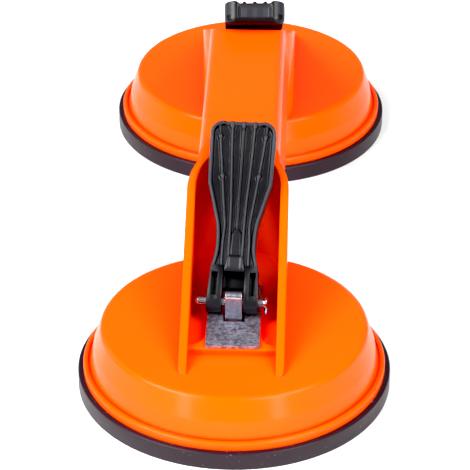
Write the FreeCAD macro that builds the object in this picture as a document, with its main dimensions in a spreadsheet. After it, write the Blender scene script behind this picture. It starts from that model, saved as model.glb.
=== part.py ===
"""Two-cup suction lifter for floor tiles, as a parametric FreeCAD document, in millimetres.

The tool stands on its two rubber pads: +Z is up, the handle runs along Y, and the origin is on the
floor half way between the pads. Every driving size is a cell of the sheet "Sizes". One end is
described, pointing towards -Y, and the other end repeats it half a turn about Z away. The levers
are drawn closed, as the tool stands when it grips: each lies along the handle and holds its stud up.
"""
import FreeCAD, Part

import math
import os
import re
import Sketcher

SIZES = [
    # the two pads and the dishes on them
    ("cup_spacing", 208.0),
    ("pad_radius", 59.0),
    ("pad_height", 7.0),
    ("pad_seal_width", 12.0),
    ("pad_lift", 2.6),
    ("pad_web", 3.0),
    ("pad_edge_round", 0.5),
    ("hub_radius", 26.0),
    ("hub_lip", 1.0),
    ("flange_radius", 57.0),
    ("flange_thickness", 3.2),
    ("groove_width", 0.9),
    ("groove_depth", 0.7),
    ("dish_foot_radius", 54.3),
    ("dish_shoulder_radius", 53.0),
    ("dish_shoulder_height", 16.5),
    ("dish_top_radius", 50.0),
    ("dish_top", 25.2),
    ("dish_edge_round", 2.0),
    ("wall", 3.0),
    ("dish_rib", 2.2),
    ("dish_rib_depth", 8.0),
    ("guide_radius", 12.0),
    # the handle, and the U-shaped tower at each end that holds a lever
    ("handle_top", 71.5),
    ("handle_half_length", 50.0),
    ("grip_bottom", 47.0),
    ("grip_top_width", 30.8),
    ("grip_bottom_width", 34.8),
    ("grip_corner_round", 3.5),
    ("grip_lip_round", 1.5),
    ("grip_end_wall", 1.8),
    ("grip_rib", 2.5),
    ("grip_rib_depth", 7.0),
    ("tower_width", 38.7),
    ("tower_wall", 3.1),
    ("tower_foot", 140.0),
    ("tower_foot_round", 3.0),
    ("tower_bend", 68.0),
    ("well_bend", 66.6),
    # the raised bed and the steel plate on it
    ("bed_height", 2.8),
    ("bed_front", 22.2),
    ("bed_back", 22.0),
    ("bed_lip", 3.0),
    ("bed_margin", 0.4),
    ("bed_edge_round", 0.8),
    ("plate_width", 20.0),
    ("plate_front", 22.0),
    ("plate_back", 21.0),
    ("plate_thickness", 1.3),
    ("plate_corner_round", 1.0),
    ("slot_width", 8.0),
    ("slot_length", 11.2),
    # the stud, its disc and the split pin
    ("tongue_width", 6.2),
    ("tongue_depth", 9.0),
    ("head_height", 5.9),
    ("head_nose_round", 1.9),
    ("head_back_height", 0.5),
    ("head_knee_place", 1.5),
    ("head_knee_height", 3.9),
    ("collar_radius", 8.0),
    ("collar_height", 2.4),
    ("disc_radius", 22.0),
    ("disc_thickness", 2.5),
    ("disc_clearance", 0.4),
    ("disc_seat_gap", 0.05),
    ("pin_height", 34.5),
    ("pin_radius", 1.45),
    ("pin_clearance", 0.06),
    ("pin_split", 0.5),
    ("pin_head_reach", 14.9),
    ("pin_bend_place", 10.8),
    ("pin_bend_radius", 1.6),
    ("pin_upper_angle", 75.0),
    ("pin_lower_angle", 95.0),
    ("pin_upper_prong", 0.4),
    ("pin_lower_prong", 2.0),
    # the lever, in its own axes: along it from the pin, and out from its ribbed face
    ("lever_slope", 43.2),
    ("lever_length", 70.7),
    ("lever_travel", 105.0),
    ("stud_lift", 2.0),
    ("cam_clearance", 0.15),
    ("face_height", 3.1),
    ("fork_gap", 8.0),
    ("fork_depth", 11.0),
    ("fork_half_width", 9.9),
    ("waist_half_width", 7.6),
    ("waist_place", 25.0),
    ("shoulder_half_width", 12.2),
    ("shoulder_place", 45.0),
    ("tip_half_width", 12.5),
    ("tip_round", 5.0),
    ("tip_thickness", 9.2),
    ("tip_lip", 3.2),
    ("paddle_thickness", 4.2),
    ("arm_thickness", 8.1),
    ("heel_length", 1.5),
    ("rim_width", 1.5),
    ("recess_depth", 1.2),
    ("recess_foot", 14.5),
    ("rib_width", 0.9),
    ("rib_drop", 0.3),
    ("rib_foot", 27.0),
    ("rib_foot_step", 2.4),
    ("rib_knee_step", 3.4),
    ("rib_tip_step", 4.5),
    ("arm_slot_width", 2.3),
    ("arm_slot_start", 2.6),
    ("arm_slot_end", 10.6),
    ("arm_slot_depth", 4.0),
    ("arm_slot_shift", 0.2),
    # how each lever sits in its play: turned about its stud, in degrees, and moved along its pin
    ("front_lean", -2.75),
    ("front_side_play", -0.7),
    ("rear_lean", 2.7),
    ("rear_side_play", -0.4),
]

doc = FreeCAD.newDocument("suction_lifter")
sheet = doc.addObject("Spreadsheet::Sheet", "Sizes")
for row, (alias, value) in enumerate(SIZES, start=1):
    cell = "A%d" % row
    sheet.set(cell, str(value))
    sheet.setAlias(cell, alias)
doc.recompute()

ALIASES = {alias for alias, value in SIZES}
Vector = FreeCAD.Vector

DISH_RIBS = 8
GRIP_RIBS = 5
CAM_STEPS = 12
FRAME_RISE = "dish_rib_depth + wall"
# Where each face rib stands across the lever: at its foot, at the shoulder and at the tip.
RIB_LINES = [
    ("-rib_foot_step * 1.9", "-rib_knee_step * 1.9", "-rib_tip_step * 1.95"),
    ("-rib_foot_step", "-rib_knee_step", "-rib_tip_step"),
    ("0", "0", "0"),
    ("rib_foot_step", "rib_knee_step", "rib_tip_step"),
    ("rib_foot_step * 1.9", "rib_knee_step * 1.9", "rib_tip_step * 1.95"),
]


def formula(text):
    """The text with each size's name written as a cell of the sheet."""
    return re.sub(r"[a-z_]+", lambda word: link(word.group()), text)


def link(word):
    return "Sizes." + word if word in ALIASES else word


def size(text):
    """The number that a formula of sizes gives."""
    return float(sheet.evalExpression(formula(text)))


def bind(item, **links):
    """Bind each property to a formula of sizes; a double underscore stands for a dot in its path."""
    for prop, text in links.items():
        item.setExpression(prop.replace("__", "."), formula(text))


def new_body(name):
    return doc.addObject("PartDesign::Body", name)


def new_sketch(body, role, name, offset=None):
    """An empty sketch on one of the body's own origin planes, raised by a formula where one is given."""
    sketch = body.newObject("Sketcher::SketchObject", name)
    plane = next(item for item in body.Origin.OriginFeatures if item.Role == role)
    sketch.AttachmentSupport = [(plane, "")]
    sketch.MapMode = "FlatFace"
    if offset is not None:
        bind(sketch, AttachmentOffset__Base__z=offset)
    return sketch


def arc_between(start, end, radius, turn):
    """The minor arc from start to end, curving to the left (turn 1) or to the right (turn -1)."""
    half = (end - start) * 0.5
    reach = math.sqrt(radius ** 2 - half.Length ** 2)
    inward = Vector(-half.y, half.x, 0).normalize() * turn
    return Part.Arc(start, start + half + inward * (reach - radius), end)


def draw(sketch, steps):
    """A closed outline through the steps, each (x, y) or (x, y, radius, turn) for an arc that ends there.

    Every corner and radius is held by a constraint that is bound to the sheet.
    """
    corners = [Vector(size(step[0]), size(step[1]), 0) for step in steps]
    first = sketch.GeometryCount
    for number, step in enumerate(steps):
        start = corners[number - 1]
        end = corners[number]
        if len(step) == 2:
            sketch.addGeometry(Part.LineSegment(start, end))
        else:
            sketch.addGeometry(arc_between(start, end, size(step[2]), step[3]))
    ends = []
    for number, step in enumerate(steps):
        backwards = len(step) == 4 and step[3] == -1
        ends.append((2, 1) if backwards else (1, 2))
    for number, step in enumerate(steps):
        here = first + number
        after = (number + 1) % len(steps)
        joint = Sketcher.Constraint("Coincident", here, ends[number][1], first + after, ends[after][0])
        sketch.addConstraint(joint)
    for number, step in enumerate(steps):
        hold(sketch, "DistanceX", (-1, 1, first + number, ends[number][1]), step[0])
        hold(sketch, "DistanceY", (-1, 1, first + number, ends[number][1]), step[1])
        if len(step) == 4:
            hold(sketch, "Radius", (first + number,), step[2])
    return sketch


def draw_circle(sketch, x, y, radius):
    number = sketch.addGeometry(Part.Circle(Vector(size(x), size(y), 0), Vector(0, 0, 1), size(radius)))
    hold(sketch, "DistanceX", (-1, 1, number, 3), x)
    hold(sketch, "DistanceY", (-1, 1, number, 3), y)
    hold(sketch, "Radius", (number,), radius)
    return sketch


def hold(sketch, kind, where, text):
    number = sketch.addConstraint(Sketcher.Constraint(kind, *where, size(text)))
    sketch.setExpression("Constraints[%d]" % number, formula(text))


def box_steps(left, right, low, high):
    return [(left, low), (right, low), (right, high), (left, high)]


def pad(body, sketch, length, both_ways=False):
    made = body.newObject("PartDesign::Pad", sketch.Name + "_pad")
    return extrude(made, sketch, length, both_ways, False)


def pocket(body, sketch, depth, both_ways=False, backwards=False):
    """A pocket, after which the body must be smaller: one that points away from it cuts nothing."""
    before = body.Shape.Volume
    made = body.newObject("PartDesign::Pocket", sketch.Name + "_pocket")
    extrude(made, sketch, depth, both_ways, backwards)
    if body.Shape.Volume >= before - 1e-6:
        raise RuntimeError(made.Name + " cuts nothing")
    return made


def extrude(made, sketch, length, both_ways, backwards):
    made.Profile = sketch
    made.SideType = "Symmetric" if both_ways else "One side"
    made.Reversed = backwards
    bind(made, Length=length)
    doc.recompute()
    return made


def revolve(body, sketch):
    made = body.newObject("PartDesign::Revolution", sketch.Name + "_turned")
    made.Profile = sketch
    made.ReferenceAxis = (sketch, ["V_Axis"])
    made.Angle = 360
    doc.recompute()
    return made


def round_edges(body, radius, wanted):
    """A fillet on every edge of the body's tip that the test picks out."""
    base = body.Tip
    names = ["Edge%d" % number for number, edge in enumerate(base.Shape.Edges, start=1) if wanted(edge)]
    if not names:
        raise RuntimeError("no edge to round on " + body.Name)
    made = body.newObject("PartDesign::Fillet", "%s_round_%d" % (body.Name, len(body.Group)))
    made.Base = (base, names)
    bind(made, Radius=radius)
    doc.recompute()
    return made


def is_near(value, wanted):
    return abs(value - wanted) < 1e-4


def joined(name, items):
    made = doc.addObject("Part::MultiFuse", name)
    made.Shapes = items
    doc.recompute()
    return made


def cut(name, base, tool):
    """The base less the tool, which must take something away."""
    made = doc.addObject("Part::Cut", name)
    made.Base = base
    made.Tool = tool
    doc.recompute()
    if made.Shape.Volume >= base.Shape.Volume - 1e-6:
        raise RuntimeError(name + " cuts nothing")
    return made


def shared(name, base, tool):
    made = doc.addObject("Part::Common", name)
    made.Base = base
    made.Tool = tool
    doc.recompute()
    return made


def mirrored(name, source):
    """The same piece at the other end of the tool."""
    made = doc.addObject("Part::Mirroring", name)
    made.Source = source
    made.Normal = Vector(0, 1, 0)
    doc.recompute()
    return made


def set_shape(name, shape):
    """A plain feature for a shape that Part's own functions make."""
    made = doc.addObject("Part::Feature", name)
    made.Shape = shape
    return made


# ---------------------------------------------------------------------------------------------
# The body shell: dishes, towers and handle, moulded in one.
# ---------------------------------------------------------------------------------------------

CUP_PLACE = "-cup_spacing / 2"
FLANGE_TOP = "pad_height + flange_thickness"
CEILING = "dish_top - wall"
WELL_HALF = "(tower_width / 2 - tower_wall)"


def is_rim(edge, radius, height):
    """Whether the edge is a circle of that radius about Z at that height."""
    if not isinstance(edge.Curve, Part.Circle):
        return False
    return is_near(edge.Curve.Radius, size(radius)) and is_near(edge.BoundBox.ZMin, size(height))


def make_dish():
    """A dish about its own axis, solid, with its flange and the groove round its foot."""
    body = new_body("dish_block")
    steps = [
        ("0", "pad_height"),
        ("flange_radius", "pad_height"),
        ("flange_radius", FLANGE_TOP),
        ("dish_foot_radius + groove_width", FLANGE_TOP),
        ("dish_foot_radius + groove_width", FLANGE_TOP + " - groove_depth"),
        ("dish_foot_radius", FLANGE_TOP + " - groove_depth"),
        ("dish_foot_radius", FLANGE_TOP),
        ("dish_shoulder_radius", "dish_shoulder_height"),
        ("dish_top_radius", "dish_top"),
        ("0", "dish_top"),
    ]
    revolve(body, draw(new_sketch(body, "XZ_Plane", "dish_outline"), steps))
    round_edges(body, "dish_edge_round", lambda edge: is_rim(edge, "dish_top_radius", "dish_top"))
    round_edges(body, "groove_depth", lambda edge: is_rim(edge, "flange_radius", FLANGE_TOP))
    bind(body, Placement__Base__y=CUP_PLACE)
    return body


def make_dish_hollow():
    """The space under a dish, round the guide that the stud slides in and the ribs that stiffen it."""
    hollow = new_body("dish_space")
    foot = "dish_foot_radius - wall"
    steps = [
        ("0", "pad_height - wall"),
        (foot, "pad_height - wall"),
        (foot, FLANGE_TOP),
        ("dish_shoulder_radius - wall", "dish_shoulder_height"),
        ("dish_top_radius - wall", CEILING),
        ("0", CEILING),
    ]
    revolve(hollow, draw(new_sketch(hollow, "XZ_Plane", "dish_space_outline"), steps))
    frame = new_body("dish_frame")
    low = CEILING + " - dish_rib_depth"
    guide = draw_circle(new_sketch(frame, "XY_Plane", "guide_ring", low), "0", "0", "guide_radius")
    pad(frame, guide, FRAME_RISE)
    one_rib = draw(
        new_sketch(frame, "XY_Plane", "one_rib", low),
        box_steps("0", "dish_foot_radius", "-dish_rib / 2", "dish_rib / 2"))
    rib = pad(frame, one_rib, FRAME_RISE)
    pattern = frame.newObject("PartDesign::PolarPattern", "ribs_round")
    pattern.Originals = [rib]
    pattern.Axis = (one_rib, ["N_Axis"])
    pattern.Angle = 360
    pattern.Occurrences = DISH_RIBS
    frame.Tip = pattern
    doc.recompute()
    made = cut("dish_hollow", hollow, frame)
    bind(made, Placement__Base__y=CUP_PLACE)
    return made


def make_tower():
    """The block for a U-shaped tower, its bend towards the handle, as tall as the handle."""
    body = new_body("tower_block")
    half = "(tower_width / 2)"
    short_half = "({0} - tower_foot_round)".format(half)
    short_foot = "(tower_foot - tower_foot_round)"
    steps = [
        ("-" + short_half, "-tower_foot", "tower_foot_round", 1),
        (short_half, "-tower_foot"),
        (half, "-" + short_foot, "tower_foot_round", 1),
        (half, "-tower_bend"),
        ("0", "-(tower_bend - {0})".format(half), half, 1),
        ("-" + half, "-tower_bend", half, 1),
        ("-" + half, "-" + short_foot),
    ]
    outline = draw(new_sketch(body, "XY_Plane", "tower_outline", FLANGE_TOP), steps)
    pad(body, outline, "handle_top - (" + FLANGE_TOP + ")")
    return body


def make_well():
    """The space inside a tower: straight walls that run out past its foot, and a round back."""
    body = new_body("well_space")
    steps = [
        ("-" + WELL_HALF, "-(tower_foot + wall)"),
        (WELL_HALF, "-(tower_foot + wall)"),
        (WELL_HALF, "-well_bend"),
        ("0", "-(well_bend - {0})".format(WELL_HALF), WELL_HALF, 1),
        ("-" + WELL_HALF, "-well_bend", WELL_HALF, 1),
    ]
    pad(body, draw(new_sketch(body, "XY_Plane", "well_outline", "dish_top"), steps), "handle_top")
    return body


def make_slope():
    """The wedge above the straight slope from the handle's end down to the tower's foot."""
    body = new_body("slope_space")
    steps = [
        ("-handle_half_length", "handle_top"),
        ("-handle_half_length", "handle_top + wall"),
        ("-(tower_foot + wall)", "handle_top + wall"),
        ("-(tower_foot + wall)", "dish_top"),
        ("-tower_foot", "dish_top"),
    ]
    pad(body, draw(new_sketch(body, "YZ_Plane", "slope_outline"), steps), "2 * tower_width", both_ways=True)
    return body


def grip_section(body, name, inset, low, high):
    """The handle's cross-section, narrower on top, less a wall all round."""
    bottom = "(grip_bottom_width / 2 - {0})".format(inset)
    top = "(grip_top_width / 2 - {0})".format(inset)
    steps = [("-" + bottom, low), (bottom, low), (top, high), ("-" + top, high)]
    return draw(new_sketch(body, "XZ_Plane", name), steps)


def make_grip():
    """The handle's solid block, which runs into both towers."""
    body = new_body("grip_block")
    outline = grip_section(body, "grip_outline", "0", "grip_bottom", "handle_top")
    pad(body, outline, "2 * tower_bend", both_ways=True)
    for radius, height in (("grip_corner_round", "handle_top"), ("grip_lip_round", "grip_bottom")):
        round_edges(body, radius, lambda edge: runs_along(edge, "y") and lies_at(edge, height))
    return body


def lies_at(edge, height):
    return is_near(edge.BoundBox.ZMin, size(height))


def runs_along(edge, axis):
    """Whether the edge is a straight one along that axis of the document."""
    box = edge.BoundBox
    lengths = {"x": box.XLength, "y": box.YLength, "z": box.ZLength}
    return is_near(lengths[axis], edge.Length)


def make_grip_hollow():
    """The space under the handle's top, open below and crossed by ribs."""
    body = new_body("grip_space")
    outline = grip_section(body, "grip_space_outline", "wall", "grip_bottom - wall", "handle_top - wall")
    run = "(2 * (tower_bend - tower_width / 2) - 2 * grip_end_wall)"
    pad(body, outline, run, both_ways=True)
    for number in range(1, GRIP_RIBS + 1):
        middle = "({0} * ({1} / {2} - 0.5))".format(run, number, GRIP_RIBS + 1)
        rib = new_sketch(body, "YZ_Plane", "grip_rib_%d" % number)
        low = "handle_top - wall - grip_rib_depth"
        draw(rib, box_steps(middle + " - grip_rib / 2", middle + " + grip_rib / 2", low, "handle_top"))
        pocket(body, rib, "2 * tower_width", both_ways=True)
    return body


def make_bed():
    """The raised bed under the wear plate, with a trough on each side of it and a lip across its front."""
    body = new_body("bed_block")
    half = "({0} + tower_wall / 2)".format(WELL_HALF)
    front = "(-cup_spacing / 2 - bed_front)"
    back = "(-cup_spacing / 2 + bed_back)"
    outline = new_sketch(body, "XY_Plane", "bed_outline", CEILING)
    pad(body, draw(outline, box_steps("-" + half, half, front, back)), "wall + bed_height")
    round_edges(body, "bed_edge_round", lambda edge: runs_along(edge, "x")
                and lies_at(edge, "dish_top + bed_height")
                and is_near(edge.BoundBox.YMin, size(front)))
    inner = "(plate_width / 2 + bed_margin)"
    bend = "({0} - {1})".format(WELL_HALF, inner)
    mouth = "({0} + bed_lip)".format(front)
    for sign, turn in (("", 1), ("-", -1)):
        steps = [
            (sign + WELL_HALF, mouth),
            (sign + half, mouth),
            (sign + half, back + " + wall"),
            (sign + inner, back + " + wall"),
            (sign + inner, "({0} + {1})".format(mouth, bend)),
        ]
        steps[0] = steps[0] + (bend, turn)
        trough = new_sketch(body, "XY_Plane", "trough" + str(turn + 1), "dish_top")
        pocket(body, draw(trough, steps), "bed_height + wall", backwards=True)
    return body


def make_stud_slot():
    """The slot that a stud slides in, through bed and guide."""
    box = doc.addObject("Part::Box", "stud_slot")
    bind(
        box, Length="slot_width", Width="slot_length", Height="handle_top",
        Placement__Base__x="-slot_width / 2", Placement__Base__y=CUP_PLACE + " - slot_length / 2",
        Placement__Base__z="pad_height")
    doc.recompute()
    return box


def make_body_shell():
    """Everything orange: the blocks of both ends and the handle, hollowed, with the beds let in."""
    end_block = joined("end_block", [make_dish(), make_tower()])
    end_space = joined("end_space", [make_well(), make_slope(), make_dish_hollow()])
    blocks = joined("shell_blocks", [end_block, mirrored("far_end_block", end_block), make_grip()])
    spaces = joined("shell_spaces", [end_space, mirrored("far_end_space", end_space), make_grip_hollow()])
    hollowed = cut("shell_hollowed", blocks, spaces)
    bed = make_bed()
    bedded = joined("shell_bedded", [hollowed, bed, mirrored("far_bed", bed)])
    slot = make_stud_slot()
    slots = joined("stud_slots", [slot, mirrored("far_stud_slot", slot)])
    return cut("body_shell", bedded, slots)


# ---------------------------------------------------------------------------------------------
# The pieces of one end, each about the stud's axis with the handle towards +Y.
# ---------------------------------------------------------------------------------------------

DISC_FOOT = "(pad_lift + pad_web + disc_seat_gap)"
DISC_TOP = "(pad_lift + pad_web + disc_seat_gap + disc_thickness)"


def make_rubber_pad(name):
    """A pad whose rim seals on the floor, its middle drawn up with the disc that lies in its hub."""
    body = new_body(name)
    seal = "(pad_radius - pad_seal_width)"
    recess = "(disc_radius + disc_clearance)"
    steps = [
        ("0", "pad_lift"),
        ("hub_radius + pad_web", "pad_lift"),
        (seal, "0"),
        ("pad_radius", "0"),
        ("pad_radius", "pad_height"),
        (seal + " + pad_web", "pad_height"),
        (seal, "1.1 * pad_web"),
        ("hub_radius + 0.5 * pad_web", "pad_lift + pad_web"),
        ("hub_radius", "pad_lift + pad_web"),
        ("hub_radius", DISC_TOP + " + hub_lip"),
        (recess, DISC_TOP + " + hub_lip"),
        (recess, "pad_lift + pad_web"),
        ("0", "pad_lift + pad_web"),
    ]
    revolve(body, draw(new_sketch(body, "XZ_Plane", name + "_outline"), steps))
    for height in ("0", "pad_height"):
        round_edges(body, "pad_edge_round", lambda edge: is_rim(edge, "pad_radius", height))
    return body


def make_backing_disc(name):
    body = new_body(name)
    outline = new_sketch(body, "XY_Plane", name + "_outline", DISC_FOOT)
    pad(body, draw_circle(outline, "0", "0", "disc_radius"), "disc_thickness")
    return body


def make_stud(name):
    """A flat tongue on a round collar, its head round in front and cut away behind, with the pin's hole."""
    body = new_body(name)
    collar = draw_circle(new_sketch(body, "XY_Plane", name + "_collar", DISC_TOP), "0", "0", "collar_radius")
    pad(body, collar, "collar_height")
    half = "(tongue_depth / 2)"
    steps = [
        ("-" + half, DISC_TOP),
        (half, DISC_TOP),
        (half, "pin_height + head_back_height"),
        ("head_knee_place", "pin_height + head_knee_height"),
        ("-({0} - head_nose_round)".format(half), "pin_height + head_height"),
        ("-" + half, "pin_height + head_height - head_nose_round", "head_nose_round", 1),
    ]
    pad(body, draw(new_sketch(body, "YZ_Plane", name + "_tongue"), steps), "tongue_width", both_ways=True)
    hole = new_sketch(body, "YZ_Plane", name + "_pin_hole")
    draw_circle(hole, "0", "pin_height", "pin_radius + pin_clearance")
    pocket(body, hole, "2 * tongue_width", both_ways=True)
    return body


def make_wear_plate(name):
    """The flat steel plate on the bed, with the stud's slot in it."""
    body = new_body(name)
    outline = new_sketch(body, "XY_Plane", name + "_outline", "dish_top + bed_height")
    draw(outline, box_steps("-plate_width / 2", "plate_width / 2", "-plate_front", "plate_back"))
    pad(body, outline, "plate_thickness")
    round_edges(body, "plate_corner_round", lambda edge: runs_along(edge, "z"))
    slot = new_sketch(body, "XY_Plane", name + "_slot", "dish_top + bed_height")
    draw(slot, box_steps("-slot_width / 2", "slot_width / 2", "-slot_length / 2", "slot_length / 2"))
    pocket(body, slot, "2 * plate_thickness", backwards=True)
    return body


def make_split_pin(name):
    """A pin bent from half-round wire: a round head, two legs side by side and a prong on each."""
    radius = size("pin_radius")
    head = -size("pin_head_reach") + radius
    bend = size("pin_bend_place")
    sweep = size("pin_bend_radius")
    gap = size("pin_split / 2")
    ball = Part.makeSphere(radius, Vector(head, 0, 0))
    pin = ball.common(Part.makeBox(radius, 2 * radius, 2 * radius, Vector(head - radius, -radius, -radius)))
    for side, leg in ((1, "pin_upper"), (-1, "pin_lower")):
        turn = math.radians(size(leg + "_angle"))
        prong = size(leg + "_prong")
        start = Vector(bend, 0, side * gap)
        centre = Vector(bend, 0, side * (gap + sweep))
        middle = centre + Vector(math.sin(turn / 2), 0, -side * math.cos(turn / 2)) * sweep
        end = centre + Vector(math.sin(turn), 0, -side * math.cos(turn)) * sweep
        tip = end + Vector(math.cos(turn), 0, side * math.sin(turn)) * prong
        runs = [
            Part.LineSegment(Vector(head, 0, side * gap), start).toShape(),
            Part.Arc(start, middle, end).toShape(),
            Part.LineSegment(end, tip).toShape(),
        ]
        chord = math.sqrt(radius ** 2 - gap ** 2)
        left = Vector(head, -chord, side * gap)
        right = Vector(head, chord, side * gap)
        section = Part.Wire([
            Part.Arc(left, Vector(head, 0, side * radius), right).toShape(),
            Part.LineSegment(right, left).toShape(),
        ])
        pin = pin.fuse(Part.Wire(runs).makePipeShell([section], True, True))
    return set_shape(name, pin.removeSplitter())


# ---------------------------------------------------------------------------------------------
# The lever, in its own axes: X across, Y along it from the pin, Z out from its ribbed face.
# ---------------------------------------------------------------------------------------------

def cam_outline():
    """The cam's points, whose distance to the plate falls evenly with the angle turned, and its heel.

    The plate's direction from the pin, as the lever sees it, swings from below the closed lever
    round its foot to its face. With p that distance and a that direction, the plate touches the
    cam at p along a plus dp/da across it.
    """
    closed = 270.0 - size("lever_slope")
    travel = size("lever_travel")
    rate = size("stud_lift") / math.radians(travel)
    reach = size("pin_height - dish_top - bed_height - plate_thickness - cam_clearance")
    points = []
    for step in range(CAM_STEPS + 1):
        turned = travel * step / CAM_STEPS
        angle = math.radians(closed - turned)
        near = reach - rate * math.radians(turned)
        out = Vector(0, math.cos(angle), math.sin(angle))
        across = Vector(0, -math.sin(angle), math.cos(angle))
        points.append(out * near + across * rate)
    start = math.radians(closed)
    heel = points[0] + Vector(0, -math.sin(start), math.cos(start)) * size("heel_length")
    return points, heel


def make_lever_side(name):
    """The lever's side view, drawn out across its whole width."""
    cam, heel = cam_outline()
    length = size("lever_length")
    face = size("face_height")
    depth = size("tip_thickness")
    brow = Vector(0, 0, face)
    under = size("arm_thickness") - face
    foot_face = Vector(0, size("recess_foot"), face)
    tip_face = Vector(0, length, 0)
    swell = Vector(0, length / 3, 0)
    top = Part.BezierCurve()
    top.setPoles([foot_face, foot_face + swell, tip_face - swell, tip_face])
    middle = Vector(0, length * 0.8, -size("paddle_thickness"))
    path = [
        Part.LineSegment(cam[-1], brow).toShape(),
        Part.LineSegment(brow, foot_face).toShape(),
        top.toShape(),
        Part.LineSegment(tip_face, Vector(0, length, -depth)).toShape(),
        Part.LineSegment(Vector(0, length, -depth), Vector(0, length - size("tip_lip"), -depth)).toShape(),
        Part.LineSegment(Vector(0, length - size("tip_lip"), -depth), middle).toShape(),
        Part.LineSegment(middle, Vector(0, size("recess_foot"), -under)).toShape(),
        Part.LineSegment(Vector(0, size("recess_foot"), -under), heel).toShape(),
        Part.LineSegment(heel, cam[0]).toShape(),
    ]
    curve = Part.BSplineCurve()
    curve.interpolate(cam)
    path.append(curve.toShape())
    width = 4 * size("tip_half_width")
    section = Part.Face(Part.Wire(Part.__sortEdges__(path)))
    solid = section.extrude(Vector(width, 0, 0))
    solid.translate(Vector(-width / 2, 0, 0))
    return set_shape(name, solid)


def lever_outline(sketch, inset, foot):
    """The lever seen from its face, less a rim all round, from its foot to the rounded tip."""
    shoulder = "(shoulder_half_width - {0})".format(inset)
    waist = "(waist_half_width - {0})".format(inset)
    fork = "(fork_half_width - {0})".format(inset)
    corner = "(tip_round - {0})".format(inset)
    tip = "(tip_half_width - {0})".format(inset)
    end = "(lever_length - {0})".format(inset)
    steps = [
        (fork, foot),
        (waist, "waist_place"),
        (shoulder, "shoulder_place"),
        (tip, end + " - " + corner),
        (tip + " - " + corner, end, corner, 1),
        ("-({0} - {1})".format(tip, corner), end),
        ("-" + tip, end + " - " + corner, corner, 1),
        ("-" + shoulder, "shoulder_place"),
        ("-" + waist, "waist_place"),
        ("-" + fork, foot),
    ]
    return draw(sketch, steps)


def make_lever(name):
    """The lever: side view and plan in one, forked and cored at its foot, rimmed and ribbed on its face."""
    side = make_lever_side(name + "_side")
    plan = new_body(name + "_plan")
    low = "-2 * tip_thickness"
    outline = lever_outline(new_sketch(plan, "XY_Plane", name + "_outline", low), "0", "-tip_thickness")
    pad(plan, outline, "4 * tip_thickness")
    blank = shared(name + "_blank", side, plan)

    sunk = set_shape(name + "_sunk", side.Shape.translated(Vector(0, 0, -size("recess_depth"))))
    inner = new_body(name + "_inner")
    inner_outline = new_sketch(inner, "XY_Plane", name + "_inner_outline", low)
    pad(inner, lever_outline(inner_outline, "rim_width", "recess_foot"), "4 * tip_thickness")
    recess = cut(name + "_recess", inner, sunk)

    ribs = new_body(name + "_rib_walls")
    for number, (foot, knee, tip) in enumerate(RIB_LINES):
        rib = new_sketch(ribs, "XY_Plane", name + "_rib_%d" % number, low)
        half = "rib_width / 2"
        steps = [
            ("{0} - {1}".format(foot, half), "rib_foot"),
            ("{0} + {1}".format(foot, half), "rib_foot"),
            ("{0} + {1}".format(knee, half), "shoulder_place"),
            ("{0} + {1}".format(tip, half), "lever_length - rim_width / 2"),
            ("{0} - {1}".format(tip, half), "lever_length - rim_width / 2"),
            ("{0} - {1}".format(knee, half), "shoulder_place"),
        ]
        pad(ribs, draw(rib, steps), "4 * tip_thickness")
    low_side = set_shape(name + "_rib_height", side.Shape.translated(Vector(0, 0, -size("rib_drop"))))
    ribs_cut = shared(name + "_ribs", ribs, low_side)

    spaces = [recess, make_fork_gap(name), make_arm_slots(name), make_pin_bore(name)]
    carved = cut(name + "_carved", blank, joined(name + "_spaces", spaces))
    return joined(name, [carved, ribs_cut])


def make_fork_gap(name):
    """The gap between the fork's arms, with a round end."""
    body = new_body(name + "_fork_gap")
    outline = new_sketch(body, "XY_Plane", name + "_fork_outline", "-2 * tip_thickness")
    draw(outline, box_steps("-fork_gap / 2", "fork_gap / 2", "-tip_thickness", "fork_depth"))
    pad(body, outline, "4 * tip_thickness")
    return body


def make_arm_slots(name):
    """The narrow cored slot in the face of each arm."""
    body = new_body(name + "_arm_slots")
    outline = new_sketch(body, "XY_Plane", name + "_arm_slot_outline", "face_height - arm_slot_depth")
    middle = "((fork_gap / 2 + fork_half_width) / 2 + arm_slot_shift)"
    for sign in ("", "-"):
        left = "{0}{1} - arm_slot_width / 2".format(sign, middle)
        right = "{0}{1} + arm_slot_width / 2".format(sign, middle)
        draw(outline, box_steps(left, right, "arm_slot_start", "arm_slot_end"))
    pad(body, outline, "2 * arm_slot_depth")
    return body


def make_pin_bore(name):
    body = new_body(name + "_pin_bore")
    outline = draw_circle(
        new_sketch(body, "YZ_Plane", name + "_bore_outline"), "0", "0", "pin_radius + pin_clearance")
    pad(body, outline, "4 * fork_half_width", both_ways=True)
    return body


# ---------------------------------------------------------------------------------------------
# Every piece in its place.
# ---------------------------------------------------------------------------------------------

def put_upright(item, place, turn):
    """Stand a piece on the stud's axis at that place along Y, turned about Z."""
    item.Placement = FreeCAD.Placement(Vector(0, place, 0), FreeCAD.Rotation(Vector(0, 0, 1), turn))


def at_pin(place, turn, shift, tilt):
    """Where a piece drawn about its pin goes: tilted about the pin, moved along it, turned with the stud."""
    swing = FreeCAD.Rotation(Vector(0, 0, 1), turn)
    axis = FreeCAD.Placement(Vector(0, place, size("pin_height")), swing)
    return axis * FreeCAD.Placement(Vector(shift, 0, 0), FreeCAD.Rotation(Vector(1, 0, 0), tilt))


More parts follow.
